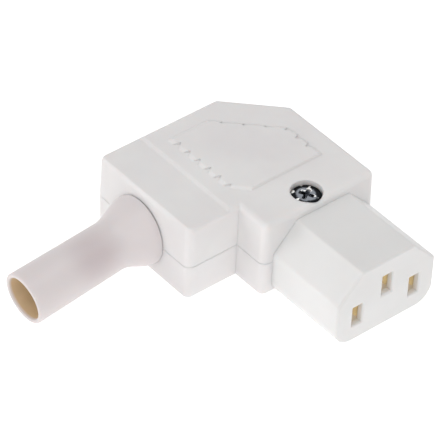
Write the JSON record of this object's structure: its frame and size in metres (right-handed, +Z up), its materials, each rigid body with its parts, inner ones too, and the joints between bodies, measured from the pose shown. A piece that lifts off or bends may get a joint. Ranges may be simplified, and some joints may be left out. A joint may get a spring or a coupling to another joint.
{
  "type": "c13 power connector",
  "caption": "White right-angle rewirable C13 power connector: screwed two-shell housing with the cord entry to the left of the three-slot nose.",
  "frame": {"origin": "centre of the mating face of the nose", "axes": "+Y from the mating face back into the housing, +Z up towards the earth slot's side and the screwed top, +X right; the cord leaves towards -X"},
  "size_m": [0.0674, 0.054, 0.0184],
  "materials": {
    "housing": "satin",
    "guard": "matte",
    "brass": "satin",
    "spring_steel": "satin",
    "plated_steel": "bright"
  },
  "bodies": {
    "root": {"upper_shell": "housing", "lower_shell": "housing", "contact_carrier": "housing", "carrier_cover": "housing", "cord_guard": "guard", "cord_clamp": "housing", "line_contact": "brass", "neutral_contact": "brass", "earth_contact": "brass", "line_spring": "spring_steel", "neutral_spring": "spring_steel", "earth_spring": "spring_steel", "line_terminal": "brass", "neutral_terminal": "brass", "earth_terminal": "brass", "line_terminal_screw": "plated_steel", "neutral_terminal_screw": "plated_steel", "earth_terminal_screw": "plated_steel", "housing_screw": "plated_steel", "cord_clamp_screw_front": "plated_steel", "cord_clamp_screw_rear": "plated_steel"}
  },
  "joints": []
}
